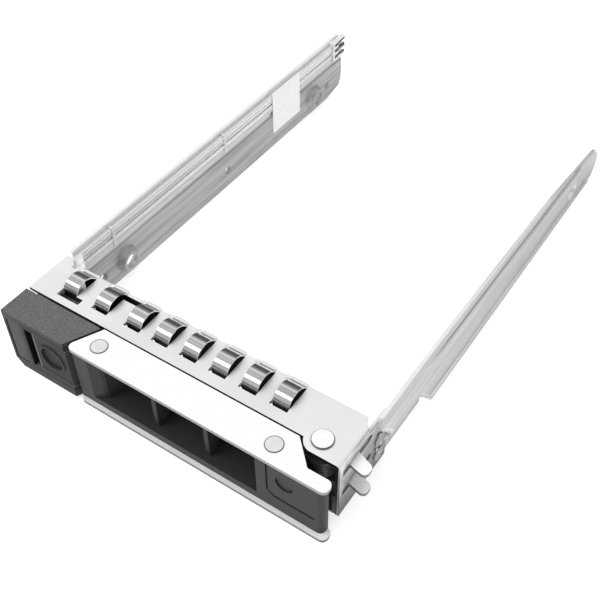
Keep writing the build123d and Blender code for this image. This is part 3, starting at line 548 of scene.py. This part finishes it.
# Left, lower and upper border of the painted shade in the gap round the button
GAP_LEFT = -33.3
GAP_FOOT = 2.1
GAP_TOP = 15.1


def bezel():
    """Charcoal moulding with painted light: lighter on faces that look up and on rounded edges
    that turn up, darker in front, and near black as painted shade in the gap round the button.
    """
    finish, speckle = plastic("bezel_charcoal", 0.5, 0.15)
    # Painted light: faces that look up lighter than those in front
    top = finish.mottle(speckle, 0.1, 0.2, SPECK_SPREAD)
    front = finish.mottle(speckle, 0.025, 0.045, SPECK_SPREAD)
    # Painted shade in the gap round the button
    gap = finish.all_of(
        finish.along("X", GAP_LEFT, GAP_LEFT + SHARP),
        finish.along("Z", GAP_FOOT, GAP_FOOT + SHARP),
        finish.along("Z", GAP_TOP, GAP_TOP - SHARP),
    )
    front = finish.mix(gap, front, 0.008)
    # Painted highlight on rounded edges that turn up
    edge = finish.facing_along("Z", 0.1, 0.3)
    front = finish.mix(edge, front, 0.16)
    upward = finish.facing_along("Z", 0.75, 0.95)
    finish.colour(finish.mix(upward, front, top))
    return finish.material


def smoked():
    """Smoked indicator window."""
    finish = Finish("smoked_window", 0.25)
    finish.set("Specular IOR Level", 0.1)
    haze = finish.noise(500.0)
    finish.colour(finish.mottle(haze, 0.012, 0.025))
    finish.bump(haze, 0.03, FINE)
    return finish.material


def clear():
    """Clear moulded light guide with long flow lines."""
    finish = Finish("clear_guide", 0.14)
    finish.set("Transmission Weight", 0.25)
    finish.set("IOR", 1.49)
    flow = finish.noise(900.0, (1.0, 0.004, 1.0), detail=2.0)
    finish.colour(finish.mottle(flow, 0.8, 0.99))
    finish.bump(flow, 0.06, FINE)
    return finish.material


def ridges():
    """Grey-white ridges along the light guides."""
    finish = Finish("guide_ridges", 0.2)
    flow = finish.noise(1500.0, (1.0, 0.006, 1.0), detail=2.0)
    finish.colour(finish.mottle(flow, 0.55, 0.95, NARROW_SPREAD))
    finish.bump(flow, 0.06, FINE)
    return finish.material


def pale():
    """Pale grey guide clips."""
    finish = Finish("guide_trim", 0.4)
    haze = finish.noise(PATCHES)
    finish.colour(finish.mottle(haze, 0.58, 0.7))
    finish.bump(haze, 0.05, SATIN)
    return finish.material


# Inner face of the light guides and of their holder
GUIDE_FACE = -36.9
# Front end of the painted shade in the slots between the prongs, and the lower and upper side of
# each
SLOT_START = 120.1
HOLDER_SLOT_SHADES = ((11.0, 12.1), (12.8, 13.9), (14.5, 15.4))


def holder():
    """Pale block with near black painted shade on its inner face where the slots between its
    prongs are.
    """
    finish = Finish("guide_holder", 0.4)
    haze = finish.noise(PATCHES)
    face = finish.mottle(haze, 0.66, 0.8)
    # Painted shade on the inner face where the slots between the prongs are
    slots = finish.any_of(*(
        finish.all_of(finish.along("Z", foot, foot + SHARP), finish.along("Z", top, top - SHARP))
        for foot, top in HOLDER_SLOT_SHADES
    ))
    slots = finish.all_of(
        slots,
        finish.along("Y", SLOT_START, SLOT_START + CRISP),
        finish.along("X", GUIDE_FACE - SOFT, GUIDE_FACE),
    )
    finish.colour(finish.mix(slots, face, SHADOW))
    finish.bump(haze, 0.05, SATIN)
    return finish.material


def paper():
    """Blank white label with faint fibres."""
    finish = Finish("label_paper", 0.7)
    fibres = finish.noise(2200.0, (1.0, 0.4, 1.0))
    finish.colour(finish.mottle(fibres, 0.84, 0.92))
    finish.bump(fibres, 0.08, FINE)
    return finish.material


SILVER = silver()
POLISHED = polished()
WIRE = wire()
GRILLE = moulded("grille_charcoal", 0.03, 0.048, 0.45)
CLEAR = clear()
HANDLE_RIVET = rivet("handle_rivets", 0.72, 0.76, "handle_rivet_left", "handle_rivet_right")
DULL_RIVET = rivet("dull_rivets", 0.16, 0.24)

FINISH = {
    "housing_top": zinc(),
    "housing_base": inner_zinc(),
    "left_rail": left_sheet(),
    "right_rail": right_sheet(),
    "cam_lever": tongues(),
    "left_rail_rivets": DULL_RIVET,
    "right_rail_rivets": rivet("wall_rivets", 0.26, 0.34),
    "handle_rivet_left": HANDLE_RIVET,
    "handle_rivet_right": HANDLE_RIVET,
    "lever_rivets": DULL_RIVET,
    "pivot_rivet": rivet("pivot_rivet", 0.92, 0.96, "pivot_rivet"),
    "pivot_bush": DULL_RIVET,
    "emi_finger_strip": POLISHED,
    "handle_spring": WIRE,
    "latch_spring": WIRE,
    "handle_channel": SILVER,
    "handle_insert": GRILLE,
    "end_bezel": bezel(),
    "release_button": button(),
    "latch": GRILLE,
    "indicator_window": smoked(),
    "light_guide_upper": CLEAR,
    "light_guide_lower": CLEAR,
    "light_guide_clips": pale(),
    "light_guide_holder": holder(),
    "rail_label": paper(),
}

# Edge rounding of the sheet metal and the moulded pieces, in millimetres
EDGE = {
    "housing_top": 0.12,
    "housing_base": 0.12,
    "left_rail": 0.12,
    "right_rail": 0.15,
    "handle_channel": 0.15,
    "handle_insert": 0.2,
    "end_bezel": 0.3,
    "release_button": 0.25,
    "cam_lever": 0.12,
}
EDGE_SEGMENTS = 2
SHARPEST_TURN = math.radians(35)


def soften(piece, width):
    """Round the sharp edges of a piece."""
    edge = piece.modifiers.new("edge", "BEVEL")
    edge.width = width * MM
    edge.segments = EDGE_SEGMENTS
    edge.limit_method = "ANGLE"
    edge.angle_limit = SHARPEST_TURN
    edge.use_clamp_overlap = True


def dress(name, material):
    """Give a CAD node its material and soften its edges."""
    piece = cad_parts[name]
    for place in piece.material_slots:
        place.material = material
    if not piece.material_slots:
        piece.data.materials.append(material)
    if name in EDGE:
        soften(piece, EDGE[name])


for node_name, node_finish in FINISH.items():
    dress(node_name, node_finish)

# Small trim that rides on the CAD nodes


def prism(outline, axis, start, end):
    """Vertices and faces of an outline drawn out along an axis, in millimetres."""
    count = len(outline)
    corners = []
    for reach in (start, end):
        for first, second in outline:
            place = [first, second]
            place.insert(axis, reach)
            corners.append(place)
    faces = [tuple(reversed(range(count))), tuple(range(count, 2 * count))]
    for number in range(count):
        following = (number + 1) % count
        faces.append((number, following, following + count, number + count))
    return corners, faces


def dome(centre, radius, height, rings=4, sides=20):
    """Vertices and faces of a low dome on a wall that faces +X, in millimetres."""
    corners = []
    faces = []
    for ring in range(rings):
        turn = ring / rings * math.pi / 2
        for side in range(sides):
            around = side / sides * 2 * math.pi
            corners.append([
                centre[0] + height * math.sin(turn),
                centre[1] + radius * math.cos(turn) * math.cos(around),
                centre[2] + radius * math.cos(turn) * math.sin(around),
            ])
    corners.append([centre[0] + height, centre[1], centre[2]])
    tip = len(corners) - 1
    for ring in range(rings):
        start = ring * sides
        for side in range(sides):
            first = start + side
            second = start + (side + 1) % sides
            if ring < rings - 1:
                faces.append((first, second, second + sides, first + sides))
            else:
                faces.append((first, second, tip))
    return corners, faces


def trim(name, shapes, material, body, edge=0.0, smooth=False):
    """Make one piece of several shapes, riding on a body."""
    corners = []
    faces = []
    for shape_corners, shape_faces in shapes:
        start = len(corners)
        corners.extend([value * MM for value in corner] for corner in shape_corners)
        faces.extend(tuple(index + start for index in face) for face in shape_faces)
    mesh = bpy.data.meshes.new(name)
    mesh.from_pydata(corners, [], faces)
    mesh.materials.append(material)
    if smooth:
        mesh.polygons.foreach_set("use_smooth", [True] * len(mesh.polygons))
    piece = bpy.data.objects.new(name, mesh)
    bpy.context.collection.objects.link(piece)
    if edge:
        soften(piece, edge)
    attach(piece, body)


# Axes along which outlines are drawn out
X_AXIS = 0
Y_AXIS = 1
Z_AXIS = 2
# How far small trim reaches into the piece below it
ROOT = 0.02

# Ridges along the inner faces of the light guides, split round the label: their heights, the
# stretches that they run, how far they reach in and out, and their half height
RIDGE_HEIGHTS = (14.55, 13.55, 12.05, 11.05)
RIDGE_RUNS = ((22.5, 90.6), (103.8, 118.6))
RIDGE_ROOT = 0.05
RIDGE_REACH = 0.16
RIDGE_HALF = 0.22
SHOULDER_REACH = RIDGE_REACH * 0.7
SHOULDER_HALF = RIDGE_HALF * 0.6


def ridge(height, run):
    """One long ridge with a rounded crest."""
    outline = [
        (GUIDE_FACE - RIDGE_ROOT, height - RIDGE_HALF),
        (GUIDE_FACE + SHOULDER_REACH, height - SHOULDER_HALF),
        (GUIDE_FACE + RIDGE_REACH, height),
        (GUIDE_FACE + SHOULDER_REACH, height + SHOULDER_HALF),
        (GUIDE_FACE - RIDGE_ROOT, height + RIDGE_HALF),
    ]
    return prism(outline, Y_AXIS, *run)


trim(
    "guide_ridges",
    [ridge(height, run) for height in RIDGE_HEIGHTS for run in RIDGE_RUNS],
    ridges(), "frame",
)

# Small hooks of the finger strip over the rear edge of the plate
PLATE_TOP = high("housing_top").z
STRIP_RISE = 0.2
STRIP_TOP = PLATE_TOP + STRIP_RISE
# Middles of the fingers, and the outline of one hook from the middle of its finger
FINGER_CENTRES = (-30.05, -21.75, -13.45, -6.59, 0.27, 7.13, 13.99, 20.85)
HOOK = ((-3.1, 17.0), (-2.5, 16.75), (-1.75, 16.95), (-1.75, 17.6), (-2.6, 17.6))


def hook(centre):
    """The hook at the left of one finger."""
    outline = [(centre + x, y) for x, y in HOOK]
    return prism(outline, Z_AXIS, PLATE_TOP - ROOT, STRIP_TOP)


trim(
    "strip_hooks", [hook(centre) for centre in FINGER_CENTRES],
    POLISHED, "frame", edge=0.05,
)

# Clinch dots of the right wall
WALL_FACE = high("right_rail_rivets").x
# How far back and how high each dot lies
CLINCHES = ((18.9, 10.4), (20.9, 6.8), (19.6, 7.1), (18.2, 6.7), (19.2, 4.5))
CLINCH_RADIUS = 0.42
CLINCH_HEIGHT = 0.16
trim(
    "wall_clinches",
    [dome((WALL_FACE - ROOT, y, z), CLINCH_RADIUS, CLINCH_HEIGHT) for y, z in CLINCHES],
    SILVER, "frame", smooth=True,
)

# Folded leg under the rear edge of the plate, coloured near black as painted shade so that the
# finger windows look dark: how far back and how high each corner of its outline lies
LEG = ((17.05, 5.6), (17.2, 5.6), (17.2, 14.9), (17.6, 15.1), (16.75, 15.1), (17.05, 14.9))
trim(
    "rear_leg",
    [prism(LEG, X_AXIS, low("emi_finger_strip").x, high("emi_finger_strip").x)],
    moulded("painted_shade_leg", 0.012, 0.02, 0.7), "frame", edge=0.03,
)

# Latch spring, drawn as a fixed coil between the ends of the CAD spring; the real one shortens
# as the button is pressed
SPRING_LOW = low("latch_spring")
SPRING_HIGH = high("latch_spring")
SPRING_LENGTH = SPRING_HIGH.x - SPRING_LOW.x
COILS = 6
COIL_STEPS = 16
WIRE_RADIUS = 0.15
WIRE_ROUNDNESS = 2


def spring_curve():
    """Coil between the two ends of the latch spring, in metres."""
    radius = (SPRING_HIGH.y - SPRING_LOW.y) / 2 - WIRE_RADIUS
    centre = (SPRING_LOW + SPRING_HIGH) / 2
    run = SPRING_LENGTH - 2 * WIRE_RADIUS
    total = COILS * COIL_STEPS
    data = bpy.data.curves.new("latch_coil", "CURVE")
    data.dimensions = "3D"
    data.bevel_depth = WIRE_RADIUS * MM
    data.bevel_resolution = WIRE_ROUNDNESS
    data.use_fill_caps = True
    line = data.splines.new("POLY")
    line.points.add(total)
    for number, point in enumerate(line.points):
        around = 2 * math.pi * number / COIL_STEPS
        place = Vector((
            SPRING_LOW.x + WIRE_RADIUS + run * number / total,
            centre.y + radius * math.cos(around),
            centre.z + radius * math.sin(around),
        )) * MM
        point.co = (*place, 1)
    return data


coil_path = bpy.data.objects.new("latch_coil_path", spring_curve())
coil = bpy.data.objects.new("latch_coil", bpy.data.meshes.new_from_object(coil_path))
bpy.data.objects.remove(coil_path)
coil.data.materials.clear()
coil.data.materials.append(WIRE)
bpy.context.collection.objects.link(coil)
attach(coil, "frame")
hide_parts("latch_spring")
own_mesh(coil)

# Studio, in metres

HALF_FLOOR = 2.0
FLOOR_GAP = 0.0002
FLOOR_GLOW = 0.5
FLOOR_CLOUDS = 3.0
floor_mesh = bpy.data.meshes.new("floor")
floor_mesh.from_pydata(
    [
        (-HALF_FLOOR, -HALF_FLOOR, 0), (HALF_FLOOR, -HALF_FLOOR, 0),
        (HALF_FLOOR, HALF_FLOOR, 0), (-HALF_FLOOR, HALF_FLOOR, 0),
    ],
    [],
    [(0, 1, 2, 3)],
)
floor = bpy.data.objects.new("floor", floor_mesh)
floor.location = (0, 0, cad_box[0][2] - FLOOR_GAP)
bpy.context.collection.objects.link(floor)
floor_finish = Finish("floor_white", 0.9)
floor_finish.colour(
    floor_finish.mottle(floor_finish.noise(FLOOR_CLOUDS), 0.92, 0.94, WIDE_SPREAD)
)
floor_finish.set("Emission Color", grey(1))
floor_finish.set("Emission Strength", FLOOR_GLOW)
floor_mesh.materials.append(floor_finish.material)

LIT_POINT = Vector((0.0, 0.05, 0.0))


def area_light(name, place, size, power):
    """Add a soft area light that looks at the part."""
    data = bpy.data.lights.new(name, "AREA")
    data.shape = "DISK"
    data.size = size
    data.energy = power
    lamp = bpy.data.objects.new(name, data)
    lamp.location = place
    aim = LIT_POINT - Vector(place)
    lamp.rotation_euler = aim.to_track_quat("-Z", "Y").to_euler()
    bpy.context.collection.objects.link(lamp)


area_light("key", (-0.45, -0.35, 0.8), size=0.6, power=4.0)
area_light("front", (0.3, -0.6, 0.5), size=0.5, power=0.25)
area_light("side", (0.8, 0.2, 0.35), size=0.5, power=0.5)

# Greys of the surroundings by height, dark low down and white above
SKY_STRENGTH = 0.95
SKY_STOPS = ((0.25, 0.1), (0.62, 1.0))
world = bpy.data.worlds.new("studio")
world.use_nodes = True
bpy.context.scene.world = world
sky = world.node_tree
backdrop = sky.nodes["Background"]
backdrop.inputs["Strength"].default_value = SKY_STRENGTH
spot = sky.nodes.new("ShaderNodeTexCoord")
split = sky.nodes.new("ShaderNodeSeparateXYZ")
shade = sky.nodes.new("ShaderNodeValToRGB")
set_stops(shade, SKY_STOPS)
sky.links.new(spot.outputs["Generated"], split.inputs["Vector"])
sky.links.new(split.outputs["Z"], shade.inputs["Fac"])
sky.links.new(shade.outputs["Color"], backdrop.inputs["Color"])
bpy.context.scene.view_settings.view_transform = "Standard"

# Camera

FRAME_PIXELS = 600
FOCAL_PIXELS = 919.1
CENTRE_PIXEL = (295.4, 300.6)
SENSOR = 36.0
NEAREST = 0.005
CAMERA_PLACE = Vector((80.1, -69.44, 146.2)) * MM
AZIMUTH = math.radians(34.62)
ELEVATION = math.radians(46.0)
ROLL = math.radians(-0.9)

forward = Vector((
    -math.sin(AZIMUTH) * math.cos(ELEVATION),
    math.cos(AZIMUTH) * math.cos(ELEVATION),
    -math.sin(ELEVATION),
))
right = Vector((math.cos(AZIMUTH), math.sin(AZIMUTH), 0))
up = right.cross(forward)
aimed = Matrix((right, up, -forward)).transposed().to_4x4()
camera_data = bpy.data.cameras.new("camera")
camera_data.sensor_width = SENSOR
camera_data.lens = SENSOR * FOCAL_PIXELS / FRAME_PIXELS
camera_data.shift_x = (FRAME_PIXELS / 2 - CENTRE_PIXEL[0]) / FRAME_PIXELS
camera_data.shift_y = (CENTRE_PIXEL[1] - FRAME_PIXELS / 2) / FRAME_PIXELS
camera_data.clip_start = NEAREST
camera = bpy.data.objects.new("camera", camera_data)
camera.matrix_world = (
    Matrix.Translation(CAMERA_PLACE) @ aimed @ Matrix.Rotation(ROLL, 4, "Z")
)
bpy.context.collection.objects.link(camera)
bpy.context.scene.camera = camera
